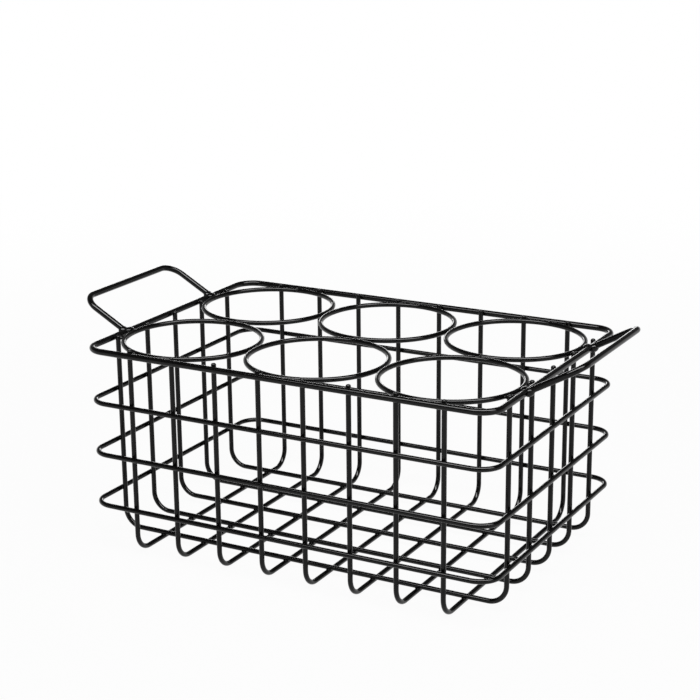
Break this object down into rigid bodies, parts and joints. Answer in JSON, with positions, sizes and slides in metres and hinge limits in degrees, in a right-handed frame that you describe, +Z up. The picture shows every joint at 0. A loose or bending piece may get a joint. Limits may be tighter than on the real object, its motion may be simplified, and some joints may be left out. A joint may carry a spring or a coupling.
{
  "type": "wine crate",
  "caption": "Open black wire crate that holds wine bottles upright in a rack of rings, with a fixed raised handle at each end.",
  "frame": {"origin": "on the ground under the middle of the crate", "axes": "+Z up; +X along the crate's length to the right-hand handle; +Y from the front to the back"},
  "size_m": [0.3864, 0.2144, 0.1688],
  "materials": {
    "cross_wire": "black powder coat, between satin and gloss",
    "long_wire": "black powder coat, between satin and gloss",
    "hoop": "black powder coat, between satin and gloss",
    "rim": "black powder coat, between satin and gloss",
    "ring": "black powder coat, between satin and gloss",
    "handle": "black powder coat, between satin and gloss"
  },
  "bodies": {
    "root": {"cross_wire_1": "cross_wire", "cross_wire_2": "cross_wire", "cross_wire_3": "cross_wire", "cross_wire_4": "cross_wire", "cross_wire_5": "cross_wire", "cross_wire_6": "cross_wire", "cross_wire_7": "cross_wire", "cross_wire_8": "cross_wire", "long_wire_1": "long_wire", "long_wire_2": "long_wire", "long_wire_3": "long_wire", "long_wire_4": "long_wire", "long_wire_5": "long_wire", "hoop_1": "hoop", "hoop_2": "hoop", "hoop_3": "hoop", "top_rim": "rim", "ring_row1_col1": "ring", "ring_row1_col2": "ring", "ring_row1_col3": "ring", "ring_row2_col1": "ring", "ring_row2_col2": "ring", "ring_row2_col3": "ring", "handle_left": "handle", "handle_right": "handle"}
  },
  "joints": []
}
